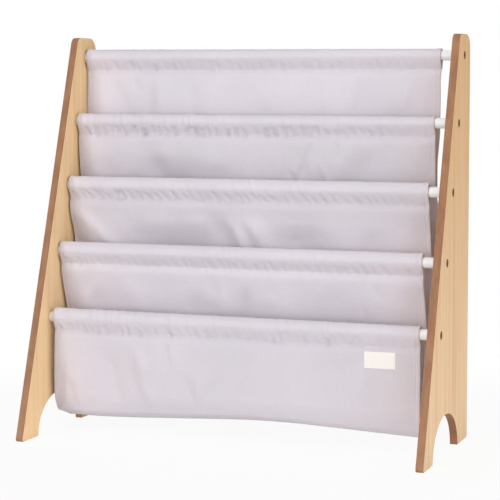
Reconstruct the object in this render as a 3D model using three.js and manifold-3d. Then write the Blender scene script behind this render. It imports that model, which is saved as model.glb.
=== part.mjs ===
// A children's sling bookshelf: two board side panels, five round rods bolted between them, and one length
// of cloth that hangs from the rods in sewn sleeves and sags into four pockets for books.
// Millimetres, +Z up. The origin is on the floor under the middle of the object, and +Y is its back.
// Rods, sleeves and pockets count from 1, the lowest.
import * as THREE from "three";
import { mergeVertices } from "three/addons/utils/BufferGeometryUtils.js";
import Module from "manifold-3d";

const wasm = await Module();
wasm.setup();

// Overall sizes
const height = 610;
const width = 629;
const floorDepth = 270; // from where the front edge's line meets the floor to the rear edge

// Side panels
const boardThickness = 12;
const topDepth = 65.3; // from the front edge's line to the rear edge at full height
const frontFoot = 54; // from the front edge's line on the floor to the arch
const rearFoot = 62; // from the arch to the rear edge
const edgeEase = 1; // small bevel round both faces
const frontToeRound = 4;
const heelRound = 6;
const topFrontRound = 14;
const topRearRound = 22;
const archRise = 59;
const outlineSteps = 12; // half the segments in each rounded stretch of the outline

// Rods
const rodCount = 5;
const rodRadius = 8;
const lowestRodHeight = 178.6;
const topRodDrop = 31.4; // from the board's top to the highest rod's axis
const rodSetback = 38.8; // axis behind the front edge, measured level
const rodEndEase = 0.8;
const roundSides = 22;

// Bolts, and the threaded inserts in the rod ends
const boltHeadRadius = 6.1;
const boltHeadHeight = 4.2;
const boltHeadEase = 0.5;
const boltShankRadius = 3;
const boltLength = 24; // under the head
const boltTipEase = 0.8;
const socketRadius = 2.3; // across the corners of the hexagon, halved
const socketDepth = 2.4;
const socketSides = 6;
const headRecess = 0.5; // head's face below the board's
const insertRadius = 5;
const insertLength = 18;
const smallSides = 14;

// Fits
const seatGap = 0.3; // between faces that seat on each other
const overrun = 2; // how far a cutter passes the face it cuts

// Cloth
const clothThickness = 1.2;
const clothPlay = 26; // bare length of a rod between the boards, both ends together
const clothSlides = [-5, -10, -10, -10, -9.5]; // the cloth's middle from the object's, at each rod
const sleeveSlack = 0.4; // between a rod and its sleeve
const seamDrop = 20; // from a rod's axis down to the seam that closes its sleeve
const seamSetback = 6; // how far the seam is drawn back from the front of its sleeve
const sleeveSteps = 14;
const layerGap = 1.3; // between two layers that hang from one seam
const pocketDepth = 145; // from the front rod's axis down to the pocket's lowest line
const lowestPocketDepth = 160;
const layerDrifts = [0, 39, 26, 7, -4]; // how far the layer under each rod has moved back by its lowest line
const driftStart = 1.5; // the larger, the straighter a layer hangs at first
const driftEnd = 3.5; // the larger, the sooner it has moved all the way
const bellyRises = [42, 24, 20, 14]; // height of each pocket's rounded bottom
// Points across a bottom from the rear wall to the front: share of the width, share of the rise
const lowestBellyShares = [
  [0.02, 0.5],
  [0.07, 0.22],
  [0.25, 0],
  [0.5, 0.13],
  [0.72, 0.26],
  [0.86, 0.355],
  [0.925, 0.53],
  [0.975, 0.75],
];
const bellyShares = [
  [0.02, 0.5],
  [0.07, 0.22],
  [0.2, 0],
  [0.42, 0.07],
  [0.62, 0.19],
  [0.8, 0.4],
  [0.92, 0.68],
];
const rearWallRows = 8;
const frontWallRows = 6;
const clothColumns = 16;

// Folds of the hanging cloth
const foldDepth = 1;
const foldPitch = 190;
const foldLean = 0.5; // how far a fold moves across for each length that it falls
const rippleDepth = 0.4;
const ripplePitch = 74;
const foldFade = 50; // length below a seam over which the folds grow
const crownLift = 10; // how much higher the bottom hangs in the middle than at the ends
const crownCentre = 40;
const crownFade = 70;

// Sewn label
const labelWidth = 46;
const labelHeight = 24;
const labelThickness = 0.6;
const labelInset = 36.5; // from the cloth's right edge
const labelDrop = 8; // below the seam of the lowest rod
const labelColumns = 6;
const labelRows = 4;

// Sizes that follow from those above
const lean = (floorDepth - topDepth) / height;
const leanLength = Math.hypot(1, lean);
const archHalfSpan = (floorDepth - frontFoot - rearFoot) / 2;
const archCentre = frontFoot + archHalfSpan;
const innerFace = width / 2 - boardThickness;
const rodPitch = (height - topRodDrop - lowestRodHeight) / (rodCount - 1);
const rodLength = 2 * (innerFace - seatGap);
const boltHoleRadius = boltShankRadius + seatGap;
const headBoreRadius = boltHeadRadius + seatGap;
const headBoreDepth = headRecess + boltHeadHeight + seatGap;
const insertHoleRadius = insertRadius + seatGap;
const insertHoleDepth = insertLength + boltTipEase + seatGap;
const clothWidth = 2 * innerFace - clothPlay;
const labelCentre = clothSlides[0] + clothWidth / 2 - labelInset - labelWidth / 2;
const sleeveInner = rodRadius + sleeveSlack;
const sleeveOuter = sleeveInner + clothThickness;
const seamDepth = seamSetback - sleeveInner - clothThickness / 2; // front layer's middle behind the rod's axis
const frontMost = frontToeRound * (lean + leanLength - 1);
const middleDepth = (frontMost + floorDepth) / 2;

const rodHeight = (rod) => lowestRodHeight + (rod - 1) * rodPitch;
const rodDepth = (rod) => lean * rodHeight(rod) + rodSetback;
const rods = Array.from({ length: rodCount }, (_, index) => index + 1);

const board = new THREE.MeshStandardMaterial({ color: 0xe2be92, roughness: 0.6, metalness: 0 });
const paint = new THREE.MeshStandardMaterial({ color: 0xf0edea, roughness: 0.35, metalness: 0 });
const bronze = new THREE.MeshStandardMaterial({ color: 0x6e5233, roughness: 0.4, metalness: 0.9 });
const zinc = new THREE.MeshStandardMaterial({ color: 0xb9bbbd, roughness: 0.4, metalness: 0.9 });
const cloth = new THREE.MeshStandardMaterial({ color: 0xdbd4db, roughness: 0.85, metalness: 0 });
const tape = new THREE.MeshStandardMaterial({ color: 0xfcf3ec, roughness: 0.8, metalness: 0 });

const part = new THREE.Group();
const model = new THREE.Group();
model.position.y = -middleDepth;
part.add(model);

function addMesh(name, geometry, material) {
  const mesh = new THREE.Mesh(geometry, material);
  mesh.name = name;
  model.add(mesh);
  return mesh;
}

function solid(geometry) {
  const bare = geometry.clone();
  bare.deleteAttribute("normal");
  bare.deleteAttribute("uv");
  const merged = mergeVertices(bare);
  const mesh = new wasm.Mesh({
    numProp: 3,
    vertProperties: merged.attributes.position.array,
    triVerts: new Uint32Array(merged.index.array),
  });
  return new wasm.Manifold(mesh);
}

function geometryOf(manifold) {
  const mesh = manifold.getMesh();
  const geometry = new THREE.BufferGeometry();
  geometry.setAttribute("position", new THREE.BufferAttribute(mesh.vertProperties, 3));
  geometry.setIndex(new THREE.BufferAttribute(mesh.triVerts, 1));
  return geometry;
}

// A body turned round the X axis. Each profile point is [radius, distance along X].
function turned(profile, sides) {
  const points = profile.map(([radius, along]) => new THREE.Vector2(radius, along));
  return new THREE.LatheGeometry(points, sides).rotateZ(-Math.PI / 2);
}

// The panel's side view, with its first coordinate along the depth
function panelOutline() {
  const leanAngle = Math.PI - Math.atan(lean);
  const up = Math.PI / 2;
  const toe = frontToeRound * (lean + leanLength);
  const topZ = height - topFrontRound;
  const topFront = lean * topZ + topFrontRound * leanLength;
  const outline = new THREE.Shape();
  outline.moveTo(toe, 0);
  outline.lineTo(frontFoot, 0);
  outline.absellipse(archCentre, 0, archHalfSpan, archRise, Math.PI, 0, true);
  outline.absarc(floorDepth - heelRound, heelRound, heelRound, -up, 0);
  outline.absarc(floorDepth - topRearRound, height - topRearRound, topRearRound, 0, up);
  outline.absarc(topFront, topZ, topFrontRound, up, leanAngle);
  outline.absarc(toe, frontToeRound, frontToeRound, leanAngle, Math.PI + up);
  return outline;
}

// What is cut from the right panel for one bolt: a bore for the head and a hole for the shank
function boltCutter() {
  const innerEnd = innerFace - overrun;
  const outerEnd = width / 2 + overrun;
  const shoulder = width / 2 - headBoreDepth;
  const profile = [[0, innerEnd], [boltHoleRadius, innerEnd], [boltHoleRadius, shoulder]];
  profile.push([headBoreRadius, shoulder], [headBoreRadius, outerEnd], [0, outerEnd]);
  return turned(profile, smallSides);
}

function rightPanel() {
  const flat = boardThickness - 2 * edgeEase;
  const extruded = new THREE.ExtrudeGeometry(panelOutline(), {
    depth: flat,
    bevelThickness: edgeEase,
    bevelSize: edgeEase,
    bevelOffset: -edgeEase,
    bevelSegments: 2,
    curveSegments: outlineSteps,
  });
  // The outline's own axes become the depth and the height, and the extrusion runs along the width
  extruded.rotateY(Math.PI / 2).rotateX(Math.PI / 2);
  extruded.translate(innerFace + edgeEase, 0, 0);
  let panel = solid(extruded);
  for (const rod of rods) {
    const cutter = boltCutter().translate(0, rodDepth(rod), rodHeight(rod));
    panel = panel.subtract(solid(cutter));
  }
  return geometryOf(panel);
}

// The other side's copy of a geometry, turned inside out again after the mirroring
function mirrored(geometry) {
  const copy = geometry.clone().scale(-1, 1, 1);
  const index = copy.index.array;
  for (let corner = 0; corner < index.length; corner += 3) {
    [index[corner], index[corner + 1]] = [index[corner + 1], index[corner]];
  }
  return copy;
}

function addPanels() {
  const right = rightPanel();
  addMesh("panel_right", right, board);
  addMesh("panel_left", mirrored(right), board);
}

// A rod with a blind hole in each end for its insert
function rodGeometry() {
  const end = rodLength / 2;
  const floor = end - insertHoleDepth;
  const halfProfile = [[0, floor], [insertHoleRadius, floor], [insertHoleRadius, end]];
  halfProfile.push([rodRadius - rodEndEase, end], [rodRadius, end - rodEndEase]);
  const lowerHalf = halfProfile.map(([radius, along]) => [radius, -along]);
  return turned([...lowerHalf, ...halfProfile.reverse()], roundSides);
}

// An insert in the right end of a rod, bored through for the bolt
function insertGeometry() {
  const outer = rodLength / 2;
  const inner = outer - insertLength;
  const bore = [boltHoleRadius, inner];
  const profile = [bore, [insertRadius, inner], [insertRadius, outer], [boltHoleRadius, outer], bore];
  return turned(profile, smallSides);
}

// A bolt in the right panel, with a hexagon socket in its head
function boltGeometry() {
  const face = width / 2 - headRecess;
  const shoulder = face - boltHeadHeight;
  const tip = shoulder - boltLength;
  const profile = [[0, tip], [boltShankRadius - boltTipEase, tip], [boltShankRadius, tip + boltTipEase]];
  profile.push([boltShankRadius, shoulder], [boltHeadRadius, shoulder]);
  profile.push([boltHeadRadius, face - boltHeadEase], [boltHeadRadius - boltHeadEase, face], [0, face]);
  const socketFloor = face - socketDepth;
  const socketTop = face + overrun;
  const socketProfile = [[0, socketFloor], [socketRadius, socketFloor]];
  socketProfile.push([socketRadius, socketTop], [0, socketTop]);
  const socket = turned(socketProfile, socketSides);
  return geometryOf(solid(turned(profile, smallSides)).subtract(solid(socket)));
}

function addRodsAndFasteners() {
  const rod = rodGeometry();
  const bolt = boltGeometry();
  const insert = geometryOf(solid(insertGeometry()));
  for (const number of rods) {
    const pieces = [addMesh(`rod_${number}`, rod, paint)];
    pieces.push(addMesh(`bolt_right_${number}`, bolt, bronze));
    pieces.push(addMesh(`bolt_left_${number}`, mirrored(bolt), bronze));
    pieces.push(addMesh(`insert_right_${number}`, insert, zinc));
    pieces.push(addMesh(`insert_left_${number}`, mirrored(insert), zinc));
    for (const piece of pieces) {
      piece.position.set(0, rodDepth(number), rodHeight(number));
    }
  }
}

// The loop of cloth round a rod: from the seam up the front, over the top, and down behind to the seam.
// The first coordinate is the depth behind the rod's axis, the second the height over it.
function sleeveLoop(radius, front, thickness, foot) {
  const frontFoot = new THREE.Vector2(front, foot);
  const rearFoot = new THREE.Vector2(front + thickness, foot);
  const turn = 2 * Math.PI;
  const firstAngle = turn + Math.atan2(frontFoot.y, frontFoot.x) - Math.acos(radius / frontFoot.length());
  const lastAngle = Math.atan2(rearFoot.y, rearFoot.x) + Math.acos(radius / rearFoot.length());
  const points = [frontFoot];
  for (let step = 0; step <= sleeveSteps; step += 1) {
    const angle = THREE.MathUtils.lerp(firstAngle, lastAngle, step / sleeveSteps);
    points.push(new THREE.Vector2(radius * Math.cos(angle), radius * Math.sin(angle)));
  }
  points.push(rearFoot);
  return points;
}

function sleeveGeometry(number) {
  const front = seamDepth - clothThickness / 2;
  const outer = sleeveLoop(sleeveOuter, front, 2 * clothThickness + layerGap, -seamDrop);
  const inner = sleeveLoop(sleeveInner, front + clothThickness, layerGap, clothThickness - seamDrop);
  const outline = new THREE.Shape(outer);
  outline.holes.push(new THREE.Path(inner.reverse()));
  const sleeve = new THREE.ExtrudeGeometry(outline, { depth: clothWidth, bevelEnabled: false });
  sleeve.rotateY(Math.PI / 2).rotateX(Math.PI / 2);
  sleeve.translate(clothSlides[number - 1] - clothWidth / 2, rodDepth(number), rodHeight(number));
  return sleeve;
}

function pocketBottom(pocket) {
  return rodHeight(pocket) - (pocket === 1 ? lowestPocketDepth : pocketDepth);
}

// Depth of the foremost layer under a rod's seam, at a height
function layerDepth(rod, z) {
  const seam = rodHeight(rod) - seamDrop;
  const bottom = pocketBottom(Math.max(rod - 1, 1));
  const share = THREE.MathUtils.clamp((seam - z) / (seam - bottom), 0, 1);
  const drifted = 1 - Math.pow(1 - Math.pow(share, driftStart), driftEnd);
  return rodDepth(rod) + seamDepth + layerDrifts[rod - 1] * drifted;
}

// A pocket's rear wall is the foremost layer under the rod above it
function rearWallDepth(pocket, z) {
  return layerDepth(pocket + 1, z);
}

// Its front wall lies just behind the rear wall of the pocket below, which hangs from the same seam
function frontWallDepth(pocket, z) {
  const layersAhead = pocket === 1 ? 0 : 1;
  return layerDepth(pocket, z) + layersAhead * (clothThickness + layerGap);
}

// The pocket's section from its rear seam down, across its bottom and up to its front seam.
// Each row is [depth, height, drop below the seam it hangs from].
function pocketRows(pocket) {
  const bottom = pocketBottom(pocket);
  const rise = bellyRises[pocket - 1];
  const bellyTop = bottom + rise;
  const rearSeam = rodHeight(pocket + 1) - seamDrop - seatGap;
  const frontSeam = rodHeight(pocket) - seamDrop - seatGap;
  const rows = [];
  for (let row = 0; row <= rearWallRows; row += 1) {
    const z = THREE.MathUtils.lerp(rearSeam, bellyTop, row / rearWallRows);
    rows.push([rearWallDepth(pocket, z), z, rearSeam - z]);
  }
  const rear = rearWallDepth(pocket, bellyTop);
  const front = frontWallDepth(pocket, bellyTop);
  for (const [across, up] of pocket === 1 ? lowestBellyShares : bellyShares) {
    rows.push([rear + (front - rear) * across, bottom + rise * up, frontSeam - bottom - rise * up]);
  }
  for (let row = 0; row <= frontWallRows; row += 1) {
    const z = THREE.MathUtils.lerp(bellyTop, frontSeam, row / frontWallRows);
    rows.push([frontWallDepth(pocket, z), z, frontSeam - z]);
  }
  return rows;
}

// Soft leaning folds with a finer ripple, growing below the seam
function foldOffset(x, z, drop) {
  const grown = THREE.MathUtils.smoothstep(drop, 0, foldFade);
  const across = x + foldLean * z;
  const fold = foldDepth * Math.sin((2 * Math.PI * across) / foldPitch);
  const ripple = rippleDepth * Math.sin((2 * Math.PI * x) / ripplePitch);
  return grown * (fold + ripple);
}

function crownOffset(x, z, bottom) {
  const near = 1 - THREE.MathUtils.smoothstep(z, bottom, bottom + crownFade);
  const swing = Math.cos((Math.PI * (x - crownCentre)) / clothWidth);
  return crownLift * near * swing * swing;
}

// The middle surface of a pocket at a row and at a share of the way from left to right
function pocketSurface(pocket) {
  const rows = pocketRows(pocket);
  const bottom = pocketBottom(pocket);
  return (row, share) => {
    const along = row / (rows.length - 1);
    const slide = THREE.MathUtils.lerp(clothSlides[pocket], clothSlides[pocket - 1], along);
    const x = slide + clothWidth * (share - 1 / 2);
    const [depth, z, drop] = rows[row];
    const sag = crownOffset(x, z, bottom);
    return new THREE.Vector3(x, depth + foldOffset(x, z, drop), z + sag);
  };
}

// A closed sheet of even thickness about a grid of points, grid[row][column]
function sheetGeometry(grid, thickness) {
  const rowCount = grid.length;
  const columnCount = grid[0].length;
  const positions = [];
  for (const side of [1, -1]) {
    for (let row = 0; row < rowCount; row += 1) {
      for (let column = 0; column < columnCount; column += 1) {
        const here = grid[row][column];
        const rowStep = grid[Math.min(row + 1, rowCount - 1)][column].clone();
        rowStep.sub(grid[Math.max(row - 1, 0)][column]);
        const columnStep = grid[row][Math.min(column + 1, columnCount - 1)].clone();
        columnStep.sub(grid[row][Math.max(column - 1, 0)]);
        const normal = rowStep.cross(columnStep).normalize();
        const point = here.clone().addScaledVector(normal, (side * thickness) / 2);
        positions.push(point.x, point.y, point.z);
      }
    }
  }
  const layer = rowCount * columnCount;
  const at = (side, row, column) => side * layer + row * columnCount + column;
  const triangles = [];
  const quad = (a, b, c, d) => triangles.push(a, b, c, a, c, d);
  for (let row = 0; row + 1 < rowCount; row += 1) {
    for (let column = 0; column + 1 < columnCount; column += 1) {
      quad(at(0, row, column), at(0, row + 1, column), at(0, row + 1, column + 1), at(0, row, column + 1));
      quad(at(1, row, column), at(1, row, column + 1), at(1, row + 1, column + 1), at(1, row + 1, column));
    }
    const last = columnCount - 1;
    quad(at(0, row, 0), at(1, row, 0), at(1, row + 1, 0), at(0, row + 1, 0));
    quad(at(0, row + 1, last), at(1, row + 1, last), at(1, row, last), at(0, row, last));
  }
  for (let column = 0; column + 1 < columnCount; column += 1) {
    const last = rowCount - 1;
    quad(at(0, 0, column + 1), at(1, 0, column + 1), at(1, 0, column), at(0, 0, column));
    quad(at(0, last, column), at(1, last, column), at(1, last, column + 1), at(0, last, column + 1));
  }
  const geometry = new THREE.BufferGeometry();
  geometry.setAttribute("position", new THREE.Float32BufferAttribute(positions, 3));
  geometry.setIndex(triangles);
  return geometry;
}

function pocketGeometry(pocket) {
  const surface = pocketSurface(pocket);
  const grid = pocketRows(pocket).map((_, row) => {
    const columns = Array.from({ length: clothColumns + 1 }, (_, column) => column / clothColumns);
    return columns.map((share) => surface(row, share));
  });
  return sheetGeometry(grid, clothThickness);
}

// The label follows the folds of the lowest pocket's front wall, just in front of it
function labelGeometry() {
  const stand = clothThickness / 2 + seatGap + labelThickness / 2;
  const seam = rodHeight(1) - seamDrop;
  const grid = [];
  for (let row = 0; row <= labelRows; row += 1) {
    const drop = labelDrop + labelHeight * (row / labelRows);
    const z = seam - drop;
    const line = [];
    for (let column = 0; column <= labelColumns; column += 1) {
      const x = labelCentre + labelWidth * (1 / 2 - column / labelColumns);
      const depth = frontWallDepth(1, z) + foldOffset(x, z, drop) - stand;
      line.push(new THREE.Vector3(x, depth, z));
    }
    grid.push(line);
  }
  return sheetGeometry(grid, labelThickness);
}

function addCloth() {
  for (const number of rods) addMesh(`sleeve_${number}`, sleeveGeometry(number), cloth);
  for (const pocket of rods.slice(0, -1)) addMesh(`pocket_${pocket}`, pocketGeometry(pocket), cloth);
  addMesh("label", labelGeometry(), tape);
}

addPanels();
addRodsAndFasteners();
addCloth();

export default part;
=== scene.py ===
import math

import bpy
import numpy as np
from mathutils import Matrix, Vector


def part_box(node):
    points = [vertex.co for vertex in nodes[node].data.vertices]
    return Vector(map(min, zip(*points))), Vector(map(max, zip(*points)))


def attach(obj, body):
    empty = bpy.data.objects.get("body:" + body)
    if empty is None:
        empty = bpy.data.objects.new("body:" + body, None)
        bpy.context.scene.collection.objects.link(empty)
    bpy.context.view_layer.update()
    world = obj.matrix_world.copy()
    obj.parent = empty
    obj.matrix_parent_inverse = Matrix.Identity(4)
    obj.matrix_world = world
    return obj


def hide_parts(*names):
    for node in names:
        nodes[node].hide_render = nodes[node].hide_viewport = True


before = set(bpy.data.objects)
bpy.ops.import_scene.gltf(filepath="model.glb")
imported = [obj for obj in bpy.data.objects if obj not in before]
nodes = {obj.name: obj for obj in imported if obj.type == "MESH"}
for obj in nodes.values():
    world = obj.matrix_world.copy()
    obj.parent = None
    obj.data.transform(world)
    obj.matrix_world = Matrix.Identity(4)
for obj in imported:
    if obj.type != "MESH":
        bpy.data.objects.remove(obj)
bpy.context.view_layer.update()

# Camera, fitted to the photograph
CAMERA_PLACE = (0.8824, -2.4036, 0.5261)
CAMERA_YAW = 19.916  # degrees
CAMERA_PITCH = 4.15  # degrees, downward
CAMERA_LENS = 123.29
CAMERA_SENSOR = 36
CAMERA_SHIFT = -0.07

# Cloth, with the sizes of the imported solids
RODS = range(1, 6)
POCKETS = range(1, 5)
ROD_RADIUS = 0.008
SLEEVE_RADIUS = 0.009  # to the middle of the cloth
SEAM_DROP = 0.020  # from a rod's axis
SEAM_DEPTH = -0.003  # from a rod's axis to the middle of the front layer where it is sewn
LAYER_GAP = 0.0025  # from the middle of one hanging layer to the next
POCKET_DEPTH = 0.145  # from a rod's axis down to the pocket's bottom
LOWEST_POCKET_DEPTH = 0.160
LAYER_DRIFTS = [0.0, 0.039, 0.026, 0.007, -0.004]  # how far each rod's layer moves back as it falls
DRIFT_START = 1.5  # powers that shape the drift's curve
DRIFT_END = 3.5
# Height of each pocket's rounded bottom, and its section as shares of the way from the rear wall
# to the front and of that height
BELLY_RISES = [0.042, 0.024, 0.020, 0.014]
BELLY_SHARES = [
    (0.02, 0.5),
    (0.07, 0.22),
    (0.2, 0.0),
    (0.42, 0.07),
    (0.62, 0.19),
    (0.8, 0.4),
    (0.92, 0.68),
]
LOWEST_BELLY_SHARES = [
    (0.02, 0.5),
    (0.07, 0.22),
    (0.25, 0.0),
    (0.5, 0.13),
    (0.72, 0.26),
    (0.86, 0.355),
    (0.925, 0.53),
    (0.975, 0.75),
]
# Broad folds and the lift of each pocket's bottom
FOLD_DEPTH = 0.001
FOLD_PITCH = 0.190
FOLD_LEAN = 0.5
FOLD_FADE = 0.050
RIPPLE_DEPTH = 0.0004
RIPPLE_PITCH = 0.074
CROWN_LIFT = 0.010
CROWN_CENTRE = 0.040
CROWN_FADE = 0.070

# Finer cloth than the solids carry
CLOTH_THICKNESS = 0.0010
HEM_THICKNESS = 0.0022
HEM_WIDTH = 0.0085
HEM_STEP = 0.0006  # half the width of the step down from the hem
HEM_ROUNDING = 0.0011
HEM_EDGE_SHARE = 0.08  # square of the share of the thickness that the very edge keeps
HEM_STITCH_INSET = 0.0064  # from the cloth's edge to its line of stitches
HEM_SINK = 0.0013  # depth of the groove that these stitches make
HEM_GROOVE = 0.0012  # its half width
SEAM_SINK = 0.0026  # how far the stitches draw the layers back
SINK_REACH_UP = 0.0085
SINK_REACH_DOWN = 0.0055
# How much higher each sleeve's top is than a tight wrap over its rod, at its left and right ends,
# lowest rod first
SLEEVE_RISES = [
    (0.0042, 0.0022),
    (0.0042, 0.0038),
    (0.0042, 0.0042),
    (0.0018, 0.0002),
    (0.0034, 0.0004),
]
# Drops below the seam and how far the side edges are drawn in there, lowest rod first
EDGE_DRAWS = [
    ((0.0, 0.0), (0.110, 0.0), (0.135, 0.0018)),
    ((0.0, 0.0), (0.080, 0.001), (0.110, -0.001)),
    ((0.0, 0.0), (0.080, 0.001), (0.110, -0.003)),
    ((0.0, 0.0), (0.080, 0.001), (0.110, -0.003)),
    ((0.0, 0.0), (0.018, 0.0015), (0.095, 0.0015), (0.135, 0.0035)),
]

# Points along and across the sheets
ROW_STEP = 0.003
SLEEVE_STEP = 0.0015
COLUMN_STEP = 0.0018
# Distances of the outermost columns from the cloth's side edge, close together over the hem
EDGE_COLUMNS = [
    0.0, 0.0004, 0.0012, 0.0030, 0.0046, 0.0055, 0.0064, 0.0073, 0.0079, 0.0085, 0.0091, 0.0112
]
REAR_WALL_POINTS = 14
FRONT_WALL_POINTS = 11
SLEEVE_ARC_POINTS = 24
SLEEVE_SIDE_POINTS = 8
CURVE_STEPS = 12  # between two points of a smooth curve
SHARP_ANGLE = 50  # degrees

# Rows of stitches along the seams
STITCH_LENGTH = 0.0026
STITCH_PITCH = 0.0034
STITCH_RADIUS = 0.00026
STITCH_END_SHARE = 0.55  # of that radius, at a stitch's two ends
STITCH_LIFT = 0.0003
STITCH_RINGS = 4
STITCH_SIDES = 6
SEAM_STITCH_RISE = 0.0016  # over the seam
SEAM_END_COLUMNS = 6  # bare of stitches at each end of a seam

# Puckers above each seam, lowest rod first: mean spacing, lean of the strokes as they rise,
# and depths at evenly spaced places from the left edge to the right
PUCKERING = [
    (0.0140, -0.20, (0.0038, 0.0046, 0.0042, 0.0036, 0.0034, 0.0026, 0.0016)),
    (0.0150, -0.25, (0.0018, 0.0022, 0.0020, 0.0026, 0.0024, 0.0026, 0.0022)),
    (0.0140, -0.50, (0.0026, 0.0044, 0.0036, 0.0034, 0.0026, 0.0018, 0.0012)),
    (0.0145, -0.10, (0.0046, 0.0058, 0.0056, 0.0046, 0.0038, 0.0026, 0.0016)),
    (0.0150, -0.08, (0.0024, 0.0028, 0.0024, 0.0020, 0.0020, 0.0016, 0.0012)),
]
# How the puckers vary: shares of their spacing and depth, half widths, and reaches from the seam
PUCKER_SPACINGS = (0.65, 1.35)
PUCKER_DEPTHS = (0.45, 1.25)
PUCKER_HALF_WIDTHS = (0.0028, 0.0048)
PUCKER_REACHES_DOWN = (0.002, 0.007)
PUCKER_REACHES_UP = (0.0115, 0.020)
PUCKER_LEAN_SPREAD = 0.13
# Small crests that carry the puckers on over a sleeve
CREST_SHARE = 0.20  # of the puckers' depth
CREST_SPACINGS = (0.3, 1.1)
CREST_HEIGHTS = (0.2, 1.0)
CREST_HALF_WIDTHS = (0.0020, 0.0036)
CREST_GROWTH = (0.002, 0.012)  # heights over the seam between which the crests grow

# Folds under each rod, lowest first: place of a fold's line at the seam, how far it moves across
# for each length that it falls, half width, depth (negative stands forward), and the drops between
# which it shows
WALL_FOLDS = [
    [
        (-0.214, 0.25, 0.015, 0.0042, 0.020, 0.125),
        (-0.165, 0.30, 0.013, -0.0042, 0.010, 0.130),
        (-0.098, 0.35, 0.011, 0.0032, 0.050, 0.140),
        (-0.060, 0.02, 0.009, -0.0030, 0.060, 0.145),
        (0.000, -0.45, 0.012, 0.0034, 0.050, 0.140),
        (-0.112, 0.15, 0.006, 0.0020, 0.005, 0.060),
        (-0.128, -0.10, 0.009, -0.0016, 0.000, 0.070),
        (-0.262, -0.25, 0.008, 0.0026, 0.060, 0.130),
        (-0.285, 0.20, 0.007, 0.0026, 0.070, 0.130),
        (0.090, 0.10, 0.022, -0.0020, 0.000, 0.120),
    ],
    [
        (-0.247, 0.10, 0.018, 0.0030, 0.025, 0.125),
        (-0.085, 0.05, 0.016, 0.0034, 0.030, 0.125),
        (0.008, -0.15, 0.012, 0.0040, 0.015, 0.125),
        (-0.030, -0.10, 0.012, -0.0020, 0.010, 0.110),
        (0.150, -0.20, 0.015, 0.0018, 0.010, 0.110),
    ],
    [
        (-0.310, 1.05, 0.018, -0.0034, -0.005, 0.110),
        (-0.357, 1.00, 0.020, 0.0034, 0.010, 0.110),
        (-0.130, 0.10, 0.075, 0.0090, 0.030, 0.150),
        (-0.183, 0.05, 0.016, 0.0024, 0.022, 0.110),
        (-0.063, 0.35, 0.018, 0.0050, 0.010, 0.130),
        (-0.040, 0.35, 0.009, -0.0026, 0.020, 0.120),
        (-0.024, 0.35, 0.009, 0.0028, 0.025, 0.120),
        (0.045, 0.35, 0.040, 0.0055, 0.030, 0.140),
        (-0.003, 0.35, 0.016, -0.0040, 0.015, 0.120),
        (0.090, 0.10, 0.026, 0.0026, 0.030, 0.110),
        (0.200, -0.15, 0.020, 0.0022, 0.030, 0.110),
    ],
    [
        (-0.140, 0.05, 0.085, 0.0055, 0.030, 0.150),
        (-0.250, 0.00, 0.018, 0.0022, 0.025, 0.110),
        (-0.167, 0.10, 0.020, 0.0036, 0.022, 0.110),
        (-0.205, 0.10, 0.012, -0.0014, 0.000, 0.090),
        (0.180, -0.30, 0.024, 0.0036, 0.015, 0.110),
        (0.020, 0.00, 0.014, -0.0016, 0.000, 0.090),
    ],
    [
        (-0.255, 0.35, 0.014, 0.0024, 0.005, 0.110),
        (-0.176, 0.05, 0.012, -0.0022, -0.010, 0.110),
        (-0.120, 0.05, 0.014, 0.0020, 0.005, 0.110),
        (0.070, 0.05, 0.022, 0.0016, 0.000, 0.110),
        (0.165, -0.05, 0.018, 0.0016, 0.000, 0.110),
    ],
]
# The fold at the right edge under every rod, in the same terms, without its place
SIDE_FOLD = (0.0, 0.032, 0.0060, -0.010, 0.150)
STROKE_FADE = 0.35  # share of a fold's length over which each of its ends fades
# Faint folds under each rod: their number, and how they vary
FAINT_FOLDS = 26
FAINT_TOPS = (-0.02, 0.05)
FAINT_REACHES = (0.03, 0.09)
FAINT_HALF_WIDTHS = (0.005, 0.016)
FAINT_LEAN_SPREAD = 0.35
FAINT_DEPTH_SPREAD = 0.0008
# Seeds, to which each rod adds its number
PUCKER_SEED = 40
FOLD_SEED = 70
CREST_SEED = 100

# Label
LABEL_THICKNESS = 0.0005
LABEL_COLUMNS = 24
LABEL_ROWS = 13

# Painted light and shade on the pockets: how much lighter or darker each pocket's front wall is
# painted, and its rear wall where it comes into sight over the rod in front and at its own seam,
# lowest pocket first, standing in for the light that reaches deep into the pockets
FRONT_PAINTED_SHADE = 0.96
WALL_PAINTED_SHADING = [(1.24, 1.02), (1.20, 0.93), (0.94, 0.95), (1.01, 1.0)]
# Veneer of each board with painted light, 0 to 255: at the foot, at the head and in the streaks
# the left board is painted lighter than the right, and the right board darker towards its head, for
# the light that each gets
PAINTED_LIGHT_VENEERS = {
    "left": ((254, 217, 166), (254, 219, 168), (240, 190, 128)),
    "right": ((252, 216, 172), (236, 189, 133), (224, 171, 113)),
}

# Lamps: place, size, and the level to which each lights a white surface at the target
LAMP_TARGET = (0, 0, 0.3)
LAMPS = {
    "front": ((-1.8, -4.2, 0.9), 1.8, 0.415),
    "front_side": ((2.2, -2.4, 0.9), 1.6, 0.165),
    "side": ((3.0, -0.8, 0.8), 1.6, 0.21),
    "over_front": ((0.5, -1.5, 2.8), 1.8, 0.15),
    "over": ((0.0, -0.6, 3.2), 2.0, 0.20),
    "rear": ((-0.8, 2.8, 1.5), 1.6, 0.18),
}
# Cards that throw light up from the floor: two corners and the radiance
BOUNCES = {
    "front_floor": ((-0.30, -0.17), (0.29, 0.02), 0.12),
    "right_floor": ((0.36, -0.5), (0.95, 0.3), 0.22),
}
BOUNCE_HEIGHT = 0.004
WORLD_LEVEL = 0.15
FLOOR_REACH = 6.0
FLOOR_FADE = (0.35, 1.0)  # distances between which the floor grows to full white
FLOOR_WHITENESS = 0.92  # round the object


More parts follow.
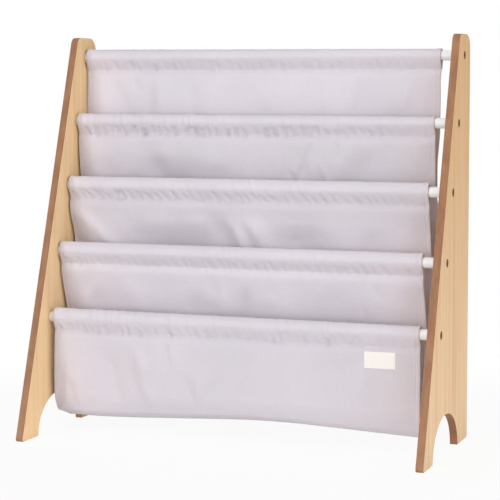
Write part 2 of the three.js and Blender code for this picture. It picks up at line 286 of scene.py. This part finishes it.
def linear(red, green, blue):
    """An sRGB colour, 0 to 255, as linear numbers."""
    shares = [channel / 255 for channel in (red, green, blue)]
    return (*(s / 12.92 if s <= 0.04045 else ((s + 0.055) / 1.055) ** 2.4 for s in shares), 1.0)


def smooth(value, low, high):
    """0 below low, 1 above high, and an even curve between them."""
    share = np.clip((value - low) / (high - low), 0, 1)
    return share * share * (3 - 2 * share)


def bell(value):
    """1 at 0, and fading to 0 on both sides."""
    return np.exp(-(value**2))


# ---- rods and seams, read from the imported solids


def rod_axis(rod):
    """Depth and height of a rod's axis."""
    low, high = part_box(f"rod_{rod}")
    return (low[1] + high[1]) / 2, (low[2] + high[2]) / 2


ROD_DEPTH, ROD_HEIGHT = zip((0, 0), *[rod_axis(rod) for rod in RODS])
CLOTH_LEFT = [0] + [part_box(f"sleeve_{rod}")[0][0] for rod in RODS]
CLOTH_RIGHT = [0] + [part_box(f"sleeve_{rod}")[1][0] for rod in RODS]
CLOTH_WIDTH = CLOTH_RIGHT[1] - CLOTH_LEFT[1]


# ---- paths


def lengths_along(points):
    """Length of a path up to each of its points."""
    steps = np.linalg.norm(np.diff(points, axis=0), axis=1)
    return np.concatenate([[0], np.cumsum(steps)])


def path_length(points):
    return float(lengths_along(points)[-1])


def rows_at(places, lengths, rows):
    """Rows of numbers that belong to lengths along a path, as they are at other places on it."""
    return np.column_stack([np.interp(places, lengths, column) for column in rows.T])


def even_path(points, step):
    """A smooth curve through the points, as an array of evenly spaced ones."""
    points = np.array(points)
    ends = np.vstack([2 * points[0] - points[1], points, 2 * points[-1] - points[-2]])
    dense = []
    for a, b, c, d in zip(ends, ends[1:], ends[2:], ends[3:]):
        slope, bend, twist = c - a, 2 * a - 5 * b + 4 * c - d, 3 * (b - c) + d - a
        for t in np.linspace(0, 1, CURVE_STEPS, endpoint=False):
            dense.append(0.5 * (2 * b + slope * t + bend * t**2 + twist * t**3))
    dense = np.array(dense + [points[-1]])
    lengths = lengths_along(dense)
    count = max(2, round(lengths[-1] / step)) + 1
    return rows_at(np.linspace(0, lengths[-1], count), lengths, dense)


# ---- shape of the hanging cloth


def pocket_bottom(pocket):
    return ROD_HEIGHT[pocket] - (LOWEST_POCKET_DEPTH if pocket == 1 else POCKET_DEPTH)


def seam_height(rod):
    return ROD_HEIGHT[rod] - SEAM_DROP


def layer_depth(rod, z):
    """Depth of the foremost layer under a rod's seam, which is the lower pocket's rear wall."""
    seam = seam_height(rod)
    share = np.clip((seam - z) / (seam - pocket_bottom(max(rod - 1, 1))), 0, 1)
    drifted = 1 - (1 - share**DRIFT_START) ** DRIFT_END
    return ROD_DEPTH[rod] + SEAM_DEPTH + LAYER_DRIFTS[rod - 1] * drifted


def front_wall_depth(pocket, z):
    """Depth of a pocket's front wall, just behind the rear wall of the pocket below."""
    return layer_depth(pocket, z) + (0 if pocket == 1 else LAYER_GAP)


def pocket_path(pocket):
    """Section from a pocket's rear seam round its bottom to its front one: (depth, height)."""
    bottom = pocket_bottom(pocket)
    rise = BELLY_RISES[pocket - 1]
    belly_top = bottom + rise
    shares = LOWEST_BELLY_SHARES if pocket == 1 else BELLY_SHARES
    rear = layer_depth(pocket + 1, belly_top)
    front = front_wall_depth(pocket, belly_top)
    falling = np.linspace(seam_height(pocket + 1), belly_top, REAR_WALL_POINTS)
    rising = np.linspace(belly_top, seam_height(pocket), FRONT_WALL_POINTS)
    points = [(layer_depth(pocket + 1, z), z) for z in falling]
    points += [(rear + (front - rear) * across, bottom + rise * up) for across, up in shares]
    points += [(front_wall_depth(pocket, z), z) for z in rising]
    return even_path(points, ROW_STEP)


def tangent_angle(foot, side):
    """Where a straight line from a foot point touches the loop round the rod."""
    return math.atan2(foot[1], foot[0]) + side * math.acos(SLEEVE_RADIUS / math.hypot(*foot))


def sleeve_path():
    """Section from the seam up a rod's front, over it and down its back: (depth, height)."""
    front_foot = (SEAM_DEPTH, -SEAM_DROP)
    rear_foot = (SEAM_DEPTH + LAYER_GAP, -SEAM_DROP)
    first_angle = tangent_angle(front_foot, -1) + 2 * math.pi
    angles = np.linspace(first_angle, tangent_angle(rear_foot, 1), SLEEVE_ARC_POINTS)
    arc = np.column_stack([np.cos(angles), np.sin(angles)]) * SLEEVE_RADIUS
    front = np.linspace(front_foot, arc[0], SLEEVE_SIDE_POINTS, endpoint=False)
    back = np.linspace(arc[-1], rear_foot, SLEEVE_SIDE_POINTS + 1)[1:]
    return even_path(np.vstack([front, arc, back]), SLEEVE_STEP)


def column_places():
    """Distances from the cloth's left edge, closer together over the two side hems."""
    inset = EDGE_COLUMNS[-1]
    count = round((CLOTH_WIDTH - 2 * inset) / COLUMN_STEP)
    inner = np.linspace(inset, CLOTH_WIDTH - inset, count + 1)
    outer = np.array(EDGE_COLUMNS[:-1])
    return np.concatenate([outer, inner, CLOTH_WIDTH - outer[::-1]])


def hem_thickness(places):
    """Thickness of the cloth across its width: doubled and rounded at the two side hems."""
    from_edge = np.minimum(places, CLOTH_WIDTH - places)
    past_hem = smooth(from_edge, HEM_WIDTH - HEM_STEP, HEM_WIDTH + HEM_STEP)
    body = HEM_THICKNESS + (CLOTH_THICKNESS - HEM_THICKNESS) * past_hem
    body -= HEM_SINK * bell((from_edge - HEM_STITCH_INSET) / HEM_GROOVE)
    inward = np.clip(from_edge / HEM_ROUNDING, 0, 1)
    return body * np.sqrt(np.clip(1 - (1 - inward) ** 2, HEM_EDGE_SHARE, 1))


COLUMNS = column_places()
THICKNESSES = hem_thickness(COLUMNS)


# ---- folds


def fold_offset(x, z, drop):
    """The solids' own broad folds."""
    fold = FOLD_DEPTH * np.sin(2 * math.pi * (x + FOLD_LEAN * z) / FOLD_PITCH)
    ripple = RIPPLE_DEPTH * np.sin(2 * math.pi * x / RIPPLE_PITCH)
    return smooth(drop, 0, FOLD_FADE) * (fold + ripple)


def crown_offset(x, z, bottom):
    """How far the middle of a pocket's bottom is lifted."""
    near = 1 - smooth(z, bottom, bottom + CROWN_FADE)
    return CROWN_LIFT * near * np.cos(math.pi * (x - CROWN_CENTRE) / CLOTH_WIDTH) ** 2


def creases(x, along, strokes):
    """Sum of long soft creases, by places across the cloth and along the strokes.

    Each stroke is (x, lean, half width, depth, low end, high end). A crease draws the cloth back.
    """
    total = np.zeros_like(x)
    for place, lean, half_width, depth, low, high in strokes:
        fade = STROKE_FADE * (high - low)
        window = smooth(along, low, low + fade) * (1 - smooth(along, high - fade, high))
        total -= depth * window * bell((x - place - lean * along) / half_width)
    return total


def pucker_depth(rod, x):
    """Depth of the puckers at a place along a rod."""
    depths = PUCKERING[rod - 1][2]
    share = (x - CLOTH_LEFT[rod]) / CLOTH_WIDTH
    return np.interp(share, np.linspace(0, 1, len(depths)), depths)


def pucker_strokes(rod):
    """Small gathers that the sewing draws into the cloth round a seam, by height over it."""
    random = np.random.RandomState(PUCKER_SEED + rod)
    spacing, lean, _ = PUCKERING[rod - 1]
    strokes = []
    x = CLOTH_LEFT[rod]
    while x < CLOTH_RIGHT[rod]:
        x += spacing * random.uniform(*PUCKER_SPACINGS)
        half_width = random.uniform(*PUCKER_HALF_WIDTHS)
        depth = pucker_depth(rod, x) * random.uniform(*PUCKER_DEPTHS)
        low = -random.uniform(*PUCKER_REACHES_DOWN)
        high = random.uniform(*PUCKER_REACHES_UP)
        own_lean = lean + random.normal(0, PUCKER_LEAN_SPREAD)
        strokes.append((x, own_lean, half_width, depth, low, high))
    return strokes


def wall_strokes(rod):
    """Folds in the layer under a rod: the photograph's, then faint ones of no fixed place."""
    random = np.random.RandomState(FOLD_SEED + rod)
    strokes = WALL_FOLDS[rod - 1] + [(CLOTH_RIGHT[rod], *SIDE_FOLD)]
    for _ in range(FAINT_FOLDS):
        x = random.uniform(CLOTH_LEFT[rod], CLOTH_RIGHT[rod])
        top = random.uniform(*FAINT_TOPS)
        reach = random.uniform(*FAINT_REACHES)
        lean = random.normal(0, FAINT_LEAN_SPREAD)
        half_width = random.uniform(*FAINT_HALF_WIDTHS)
        depth = random.normal(0, FAINT_DEPTH_SPREAD)
        strokes.append((x, lean, half_width, depth, top, top + reach))
    return strokes


PUCKERS = [None] + [pucker_strokes(rod) for rod in RODS]
WALLS = [None] + [wall_strokes(rod) for rod in RODS]


def seam_offset(rod, x, over_seam):
    """How far the layers near a rod's seam stand forward of their plain shape."""
    reach = np.where(over_seam > 0, SINK_REACH_UP, SINK_REACH_DOWN)
    return creases(x, over_seam, PUCKERS[rod]) - SEAM_SINK * bell(over_seam / reach)


def crests(rod, x, over_seam):
    """How far small crests lift a sleeve off its rod."""
    random = np.random.RandomState(CREST_SEED + rod)
    spacing, lean, _ = PUCKERING[rod - 1]
    total = np.zeros_like(x)
    place = CLOTH_LEFT[rod]
    while place < CLOTH_RIGHT[rod]:
        place += spacing * random.uniform(*CREST_SPACINGS)
        height = CREST_SHARE * pucker_depth(rod, place) * random.uniform(*CREST_HEIGHTS)
        half_width = random.uniform(*CREST_HALF_WIDTHS)
        total += height * bell((x - place - lean * over_seam) / half_width)
    return total * smooth(over_seam, *CREST_GROWTH)


def layer_offset(rod, x, drop):
    """How far the layer under a rod stands forward of its plain shape."""
    return seam_offset(rod, x, -drop) + creases(x, drop, WALLS[rod])


def draw_in(rod, drop):
    """How far the side edges of the layer under a rod are drawn in."""
    drops, amounts = zip(*EDGE_DRAWS[rod - 1])
    return np.interp(drop, drops, amounts)


# ---- meshes


def unit(vectors):
    return vectors / np.linalg.norm(vectors, axis=-1, keepdims=True)


def grid_normals(grid):
    """Normals of a grid of points, grid[row, column], as rows cross columns."""
    return unit(np.cross(np.gradient(grid, axis=0), np.gradient(grid, axis=1)))


def add_object(name, data):
    made = bpy.data.objects.new(name, data)
    bpy.context.scene.collection.objects.link(made)
    return made


def build_mesh(name, vertices, faces, material):
    mesh = bpy.data.meshes.new(name)
    mesh.from_pydata([tuple(v) for v in vertices], [], [tuple(f) for f in faces])
    mesh.materials.append(material)
    mesh.polygons.foreach_set("use_smooth", [True] * len(mesh.polygons))
    mesh.set_sharp_from_angle(angle=math.radians(SHARP_ANGLE))
    mesh.update()
    piece = add_object(name, mesh)
    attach(piece, "root")
    return piece


def sheet_faces(rows, columns):
    """Faces of a closed sheet whose first rows * columns vertices are its front."""
    index = np.arange(rows * columns).reshape(rows, columns)
    corners = [index[:-1, :-1], index[1:, :-1], index[1:, 1:], index[:-1, 1:]]
    front = np.stack(corners, -1).reshape(-1, 4)
    back = front[:, ::-1] + rows * columns
    ring = np.concatenate([index[0, :-1], index[:-1, -1], index[-1, :0:-1], index[:0:-1, 0]])
    after = np.roll(ring, -1)
    rim = np.stack([ring, after, after + rows * columns, ring + rows * columns], -1)
    return np.vstack([front, back, rim])


def build_sheet(name, grid, thickness, material):
    """A closed sheet about a grid of points, with a thickness for each column."""
    half = grid_normals(grid) * (np.broadcast_to(thickness, grid.shape[:2]) / 2)[..., None]
    vertices = np.vstack([(grid + half).reshape(-1, 3), (grid - half).reshape(-1, 3)])
    return build_mesh(name, vertices, sheet_faces(*grid.shape[:2]), material)


def cloth_columns(left, right):
    """X of every point of a grid whose rows run from a left to a right edge of their own."""
    return left[:, None] + (right - left)[:, None] * (COLUMNS / CLOTH_WIDTH)[None, :]


def pocket_grid(pocket):
    """Points of a pocket's sheet, and the length of its section."""
    path = pocket_path(pocket)
    depth, z = path[:, :1], path[:, 1:]
    along = np.linspace(0, 1, len(path))
    rear = np.arange(len(path)) < int(np.argmin(path[:, 1]))
    drop = np.where(rear, seam_height(pocket + 1), seam_height(pocket)) - path[:, 1]
    inset = np.where(rear, draw_in(pocket + 1, drop), draw_in(pocket, drop))
    left = CLOTH_LEFT[pocket + 1] + (CLOTH_LEFT[pocket] - CLOTH_LEFT[pocket + 1]) * along + inset
    x = cloth_columns(left, left + CLOTH_WIDTH - 2 * inset)
    drop = np.broadcast_to(drop[:, None], x.shape)
    offsets = layer_offset(pocket + 1, x, drop), layer_offset(pocket, x, drop)
    y = depth + fold_offset(x, z, drop) - np.where(rear[:, None], *offsets)
    lifted = z + crown_offset(x, z, pocket_bottom(pocket))
    return np.stack([x, y, lifted], -1), path_length(path)


def sleeve_grid(rod):
    """Points of a sleeve's sheet, and the length of its section half-way along the rod."""
    depth, z = np.split(sleeve_path(), 2, axis=1)
    left = np.full(len(z), CLOTH_LEFT[rod])
    x = cloth_columns(left, left + CLOTH_WIDTH)
    rises = np.interp(x, (CLOTH_LEFT[rod], CLOTH_RIGHT[rod]), SLEEVE_RISES[rod - 1])
    over_seam = np.broadcast_to(z + SEAM_DROP, x.shape)
    lifted = z + rises * np.maximum(z, 0) / SLEEVE_RADIUS
    section = np.stack([depth - seam_offset(rod, x, over_seam), lifted], -1)
    away = np.linalg.norm(section, axis=-1, keepdims=True)
    held_out = np.maximum(SLEEVE_RADIUS, ROD_RADIUS + THICKNESSES / 2)[None, :, None]
    section *= (np.maximum(away, held_out) + crests(rod, x, over_seam)[..., None]) / away
    y, lifted = ROD_DEPTH[rod] + section[..., 0], ROD_HEIGHT[rod] + section[..., 1]
    return np.stack([x, y, lifted], -1), path_length(section[:, section.shape[1] // 2])


# ---- stitches


def build_stitches(name, points, normals, material):
    """Loops of thread along a line of points, each lying on the cloth between two needle holes."""
    lengths = lengths_along(points)
    shares = np.linspace(0, 1, STITCH_RINGS)
    arch = np.sin(math.pi * shares)
    radii = STITCH_RADIUS * (STITCH_END_SHARE + (1 - STITCH_END_SHARE) * arch)
    turns = np.linspace(0, 2 * math.pi, STITCH_SIDES, endpoint=False)[:, None]
    ring = np.arange(STITCH_SIDES)
    after = np.roll(ring, -1)
    vertices, faces = [], []
    for start in np.arange(STITCH_PITCH / 2, lengths[-1] - STITCH_LENGTH, STITCH_PITCH):
        places = start + shares * STITCH_LENGTH
        middle = rows_at(places, lengths, points)
        outward = unit(rows_at(places, lengths, normals))
        across = unit(np.cross(outward, unit(middle[-1] - middle[0])))
        centres = middle + outward * (STITCH_LIFT * (arch - 0.5))[:, None]
        first = len(vertices) * STITCH_SIDES
        for centre, out, side, radius in zip(centres, outward, across, radii):
            vertices.append(centre + radius * (np.cos(turns) * out + np.sin(turns) * side))
        for step in range(STITCH_RINGS - 1):
            low = first + step * STITCH_SIDES
            high = low + STITCH_SIDES
            corners = [low + ring, low + after, high + after, high + ring]
            faces += [tuple(face) for face in np.stack(corners, -1)]
        faces.append(tuple(first + ring[::-1]))
        faces.append(tuple(first + (STITCH_RINGS - 1) * STITCH_SIDES + ring))
    return build_mesh(name, np.vstack(vertices), faces, material)


def seam_line(rod):
    """The line of stitches just over a rod's seam, on its sleeve's front: points and normals."""
    grid = sleeve_grid(rod)[0]
    normals = grid_normals(grid)
    front_heights = grid[: len(grid) // 3, 0, 2] - seam_height(rod)
    row = int(np.argmin(np.abs(front_heights - SEAM_STITCH_RISE)))
    outward = normals[row] * np.sign(-normals[row][:, 1:2])
    sewn = slice(SEAM_END_COLUMNS, -SEAM_END_COLUMNS)
    return (grid[row] + outward * CLOTH_THICKNESS / 2)[sewn], outward[sewn]


# ---- materials


class NodeTree:
    """Short calls for the nodes of a material or a world."""

    def __init__(self, tree):
        self.tree = tree

    def node(self, kind, inputs=None, **settings):
        made = self.tree.nodes.new(kind)
        for key, value in settings.items():
            setattr(made, key, value)
        for socket, value in (inputs or {}).items():
            self.feed(made.inputs[socket], value)
        return made

    def feed(self, socket, value):
        if isinstance(value, bpy.types.NodeSocket):
            self.tree.links.new(value, socket)
        else:
            socket.default_value = value

    def math(self, operation, *values):
        made = self.node("ShaderNodeMath", operation=operation)
        for socket, value in zip(made.inputs, values):
            self.feed(socket, value)
        return made.outputs["Value"]

    def ramp(self, value, low, high, out_low=0.0, out_high=1.0):
        """A smooth step from out_low to out_high as the value goes from low to high."""
        ends = {"From Min": low, "From Max": high, "To Min": out_low, "To Max": out_high}
        made = self.node("ShaderNodeMapRange", ends, interpolation_type="SMOOTHSTEP")
        self.feed(made.inputs["Value"], value)
        return made.outputs["Result"]

    def backdrop_rays(self):
        """1 for rays that show the backdrop, be it in metal or through glass, 0 for all others."""
        rays = self.node("ShaderNodeLightPath").outputs
        sent_on = self.math("MAXIMUM", rays["Is Glossy Ray"], rays["Is Transmission Ray"])
        return self.math("MAXIMUM", rays["Is Camera Ray"], sent_on)


class Shader(NodeTree):
    """A new material and short calls for its nodes."""

    def __init__(self, name):
        self.material = bpy.data.materials.new(name)
        self.material.use_nodes = True
        super().__init__(self.material.node_tree)
        self.surface = self.tree.nodes["Principled BSDF"]
        self.place = self.node("ShaderNodeTexCoord").outputs["Object"]

    def set(self, **values):
        for name, value in values.items():
            self.feed(self.surface.inputs[name.replace("_", " ")], value)

    def height(self):
        return self.node("ShaderNodeSeparateXYZ", {"Vector": self.place}).outputs["Z"]

    def noise(self, scale, stretch=(1, 1, 1), detail=2.0, roughness=0.5):
        """Noise from 0 to 1, finer for a larger scale, and along an axis with a larger stretch."""
        placing = {"Vector": self.place, "Scale": stretch}
        place = self.node("ShaderNodeMapping", placing).outputs["Vector"]
        inputs = {"Vector": place, "Scale": scale, "Detail": detail, "Roughness": roughness}
        return self.node("ShaderNodeTexNoise", inputs).outputs["Fac"]

    def weave(self, scale, slenderness):
        """Upright and level threads together, from 0 to 2."""
        upright = self.noise(scale, stretch=(1, 1, slenderness), detail=1)
        level = self.noise(scale, stretch=(slenderness, 1, 1), detail=1)
        return self.math("ADD", upright, level)

    def mix(self, share, first, second):
        made = self.node("ShaderNodeMix", data_type="RGBA")
        for socket, value in (("Factor", share), ("A", first), ("B", second)):
            self.feed(next(s for s in made.inputs if s.name == socket and s.enabled), value)
        return next(s for s in made.outputs if s.enabled)

    def bump(self, height, distance, strength, under=None):
        inputs = {"Height": height, "Distance": distance, "Strength": strength}
        if under:
            inputs["Normal"] = under
        return self.node("ShaderNodeBump", inputs).outputs["Normal"]


def cloth_material(name, heights, painted_light_tones):
    """Closely woven cloth, with painted light and shade that make it a little lighter or darker at
    three heights, given from the lowest.
    """
    shader = Shader(name)
    dark, pale, shade = linear(214, 208, 216), linear(220, 213, 221), linear(204, 198, 207)
    yarn = shader.mix(shader.ramp(shader.noise(9, detail=3), 0.3, 0.7), dark, pale)
    weave = shader.weave(520, slenderness=0.12)
    colour = shader.mix(shader.ramp(weave, 0.6, 1.4, 0.0, 0.25), yarn, shade)
    # painted light and shade: the colour is scaled up or down by height
    height = shader.height()
    lower = shader.ramp(height, *heights[:2], *painted_light_tones[:2])
    upper = shader.ramp(height, *heights[1:], 1.0, painted_light_tones[2] / painted_light_tones[1])
    painted_light_scaling = {0: colour, "Scale": shader.math("MULTIPLY", lower, upper)}
    colour = shader.node("ShaderNodeVectorMath", painted_light_scaling, operation="SCALE").outputs["Vector"]
    soft = shader.bump(shader.noise(60, detail=2), distance=0.0004, strength=0.35)
    threads = shader.bump(weave, distance=0.00008, strength=0.5, under=soft)
    shader.set(Base_Color=colour, Roughness=0.55, Sheen_Weight=0.05, Sheen_Roughness=0.4)
    shader.set(Normal=threads)
    return shader.material


def thread_material():
    """Twisted sewing thread."""
    shader = Shader("stitch_thread")
    twist = shader.noise(2500, stretch=(0.4, 1, 1), detail=1)
    colour = shader.mix(twist, linear(196, 189, 197), linear(214, 207, 214))
    shader.set(Base_Color=colour, Roughness=0.6, Sheen_Weight=0.1)
    shader.set(Normal=shader.bump(twist, distance=0.0001, strength=0.4))
    return shader.material


def tape_material():
    """Finely woven cream tape."""
    shader = Shader("label_tape")
    weave = shader.weave(900, slenderness=0.08)
    share = shader.ramp(weave, 0.6, 1.4)
    colour = shader.mix(share, linear(245, 240, 237), linear(250, 246, 243))
    shader.set(Base_Color=colour, Roughness=0.65, Sheen_Weight=0.1)
    shader.set(Normal=shader.bump(weave, distance=0.00005, strength=0.5))
    return shader.material


def wood_material(name, foot_tone_with_painted_light, head_tone_with_painted_light, streak_tone):
    """Pale veneer on a board's faces, its grain upright, and a browner band round its edges, with
    painted light: the faces change tone from foot to head, and the edges are lighter near the
    floor.
    """
    shader = Shader(name)
    height = shader.height()
    streaks = shader.noise(70, stretch=(1, 1, 0.035), detail=4, roughness=0.6)
    pores = shader.noise(620, stretch=(1, 1, 0.02), detail=2)
    bands = shader.noise(16, stretch=(1, 1, 0.06), detail=2)
    # painted light: the faces move from the foot's tone to the head's tone as they rise
    rise = shader.math("ADD", height, shader.math("MULTIPLY", bands, 0.3))
    face = shader.mix(shader.ramp(rise, 0.1, 0.7), foot_tone_with_painted_light, head_tone_with_painted_light)
    face = shader.mix(shader.ramp(streaks, 0.42, 0.75, 0.0, 0.6), face, streak_tone)
    face = shader.mix(shader.ramp(pores, 0.58, 0.8, 0.0, 0.25), face, linear(196, 148, 102))
    edge_grain = shader.ramp(shader.noise(90, stretch=(1, 1, 0.05), detail=3), 0.3, 0.7)
    edge = shader.mix(edge_grain, linear(142, 96, 64), linear(160, 113, 78))
    # painted light: the edge band is lighter near the floor, as if lit from below by it
    edge = shader.mix(shader.ramp(height, 0.0, 0.12, 0.45, 0.0), edge, linear(176, 128, 94))
    normal = shader.node("ShaderNodeNewGeometry").outputs["True Normal"]
    sideways = shader.node("ShaderNodeSeparateXYZ", {"Vector": normal}).outputs["X"]
    on_face = shader.math("GREATER_THAN", shader.math("ABSOLUTE", sideways), 0.9)
    shader.set(Base_Color=shader.mix(on_face, edge, face))
    shader.set(Roughness=shader.ramp(streaks, 0.3, 0.7, 0.5, 0.6))
    grain = shader.math("ADD", streaks, pores)
    shader.set(Normal=shader.bump(grain, distance=0.0002, strength=0.35))
    return shader.material


def paint_material():
    """White paint with the faint marks of a turned rod."""
    shader = Shader("white_paint")
    drift = shader.noise(30, detail=2)
    colour = shader.mix(drift, linear(238, 241, 247), linear(244, 247, 252))
    marks = shader.noise(240, stretch=(0.08, 1, 1), detail=2)
    shader.set(Base_Color=colour, Coat_Weight=0.1)
    shader.set(Roughness=shader.ramp(drift, 0.3, 0.7, 0.32, 0.42))
    shader.set(Normal=shader.bump(marks, distance=0.0001, strength=0.3))
    return shader.material


def metal_material(name, pale, dark, roughness):
    """Plated steel with wear and fine tool marks."""
    shader = Shader(name)
    wear = shader.noise(380, detail=3)
    marks = shader.noise(1500, detail=1)
    shader.set(Base_Color=shader.mix(shader.ramp(wear, 0.35, 0.65), dark, pale), Metallic=0.6)
    shader.set(Roughness=shader.ramp(wear, 0.3, 0.7, roughness, roughness + 0.15))
    shader.set(Normal=shader.bump(marks, distance=0.00003, strength=0.4))
    return shader.material


def dress_node(name, material):
    for slot in nodes[name].material_slots:
        slot.material = material


def dress_frame():
    """Give the boards, rods, bolts and inserts their materials."""
    paint = paint_material()
    bronze = metal_material("bronze_plating", linear(140, 88, 30), linear(84, 50, 16), 0.6)
    zinc = metal_material("zinc_plating", linear(190, 192, 194), linear(160, 162, 166), 0.3)
    for side, painted_light_tones in PAINTED_LIGHT_VENEERS.items():
        wood = wood_material(f"veneer_with_painted_light_{side}", *[linear(*tone) for tone in painted_light_tones])
        dress_node(f"panel_{side}", wood)
        for rod in RODS:
            dress_node(f"bolt_{side}_{rod}", bronze)
            dress_node(f"insert_{side}_{rod}", zinc)
    for rod in RODS:
        dress_node(f"rod_{rod}", paint)


# ---- sling


def build_sling():
    """The five sleeves and four pockets."""
    plain = cloth_material("cloth_weave", (0, 0.5, 1), (1.0, 1.0, 1.0))
    for rod in RODS:
        grid, length = sleeve_grid(rod)
        piece = build_sheet(f"cloth_sleeve_{rod}", grid, THICKNESSES, plain)
        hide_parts(f"sleeve_{rod}")
    for pocket in POCKETS:
        grid, length = pocket_grid(pocket)
        # painted light and shade for each pocket, from its front seam up to its rear seam
        in_sight = ROD_HEIGHT[pocket] + SLEEVE_RADIUS
        heights = (seam_height(pocket), in_sight, seam_height(pocket + 1))
        painted_light_tones = (FRONT_PAINTED_SHADE, *WALL_PAINTED_SHADING[pocket - 1])
        material = cloth_material(f"cloth_weave_{pocket}", heights, painted_light_tones)
        piece = build_sheet(f"cloth_pocket_{pocket}", grid, THICKNESSES, material)
        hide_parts(f"pocket_{pocket}")


def build_threads():
    """A row of stitches along each sleeve's seam."""
    thread = thread_material()
    for rod in RODS:
        piece = build_stitches(f"cloth_stitches_{rod}", *seam_line(rod), thread)


def build_label():
    """The bare label, on the front of the lowest pocket."""
    low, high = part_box("label")
    columns = np.linspace(low[0], high[0], LABEL_COLUMNS)
    rows = np.linspace(high[2], low[2], LABEL_ROWS)
    x, z = np.meshgrid(columns, rows)
    drop = seam_height(1) - z
    wall = layer_depth(1, z) + fold_offset(x, z, drop) - layer_offset(1, x, drop)
    grid = np.stack([x, wall - CLOTH_THICKNESS / 2 - LABEL_THICKNESS, z], -1)
    piece = build_sheet("cloth_label", grid, LABEL_THICKNESS, tape_material())
    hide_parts("label")


# ---- stage, light and camera


def build_stage():
    """A pale floor that keeps the object's shadow and is white to the camera further out."""
    shader = Shader("pale_floor")
    tree = shader.tree
    away = shader.node("ShaderNodeVectorMath", {0: shader.place}, operation="LENGTH")
    whiteness = shader.ramp(away.outputs["Value"], *FLOOR_FADE, FLOOR_WHITENESS, 1.0)
    glow = shader.node("ShaderNodeEmission", {"Color": (1, 1, 1, 1), "Strength": 1.0})
    shader.set(Base_Color=linear(245, 244, 243), Roughness=0.9)
    share = shader.math("MULTIPLY", shader.backdrop_rays(), whiteness)
    blend = shader.node("ShaderNodeMixShader", {0: share})
    output = next(node for node in tree.nodes if node.type == "OUTPUT_MATERIAL")
    tree.links.new(shader.surface.outputs["BSDF"], blend.inputs[1])
    tree.links.new(glow.outputs["Emission"], blend.inputs[2])
    tree.links.new(blend.outputs["Shader"], output.inputs["Surface"])
    mesh = bpy.data.meshes.new("floor")
    square = ((-1, -1), (1, -1), (1, 1), (-1, 1))
    corners = [(x * FLOOR_REACH, y * FLOOR_REACH, 0) for x, y in square]
    mesh.from_pydata(corners, [], [(0, 1, 2, 3)])
    mesh.materials.append(shader.material)
    add_object("floor", mesh)


def build_world():
    """White to the camera and in reflections, and an even grey light on everything else."""
    world = bpy.data.worlds.new("studio")
    world.use_nodes = True
    sky = NodeTree(world.node_tree)
    background = sky.tree.nodes["Background"]
    sky.feed(background.inputs["Color"], (1, 1, 1, 1))
    level = sky.ramp(sky.backdrop_rays(), 0.0, 1.0, WORLD_LEVEL, 1.0)
    sky.feed(background.inputs["Strength"], level)
    bpy.context.scene.world = world


def add_lamp(name, place, size, level):
    """A square area lamp aimed at the target."""
    data = bpy.data.lights.new(name, "AREA")
    lamp = add_object(name, data)
    lamp.location = place
    aim = Vector(LAMP_TARGET) - Vector(place)
    lamp.rotation_euler = aim.to_track_quat("-Z", "Y").to_euler()
    data.size = size
    data.energy = level * math.pi**2 * aim.length_squared


def add_bounce(name, low, high, radiance):
    """A card on the floor that throws light up, as the studio's white floor does.

    The camera doesn't see it.
    """
    data = bpy.data.lights.new(name, "AREA")
    card = add_object(name, data)
    card.location = ((low[0] + high[0]) / 2, (low[1] + high[1]) / 2, BOUNCE_HEIGHT)
    card.rotation_euler = (math.pi, 0, 0)
    card.visible_camera = False
    data.shape = "RECTANGLE"
    data.size, data.size_y = high[0] - low[0], high[1] - low[1]
    data.energy = radiance * math.pi * data.size * data.size_y


def build_camera():
    data = bpy.data.cameras.new("camera")
    data.sensor_width = CAMERA_SENSOR
    data.lens = CAMERA_LENS
    data.shift_y = CAMERA_SHIFT
    camera = add_object("camera", data)
    camera.location = CAMERA_PLACE
    camera.rotation_euler = (math.radians(90 - CAMERA_PITCH), 0, math.radians(CAMERA_YAW))
    bpy.context.scene.camera = camera


build_camera()
build_world()
build_stage()
for name, lamp in LAMPS.items():
    add_lamp(name, *lamp)
for name, card in BOUNCES.items():
    add_bounce(name, *card)
dress_frame()
build_sling()
build_threads()
build_label()
bpy.context.scene.view_settings.view_transform = "Standard"
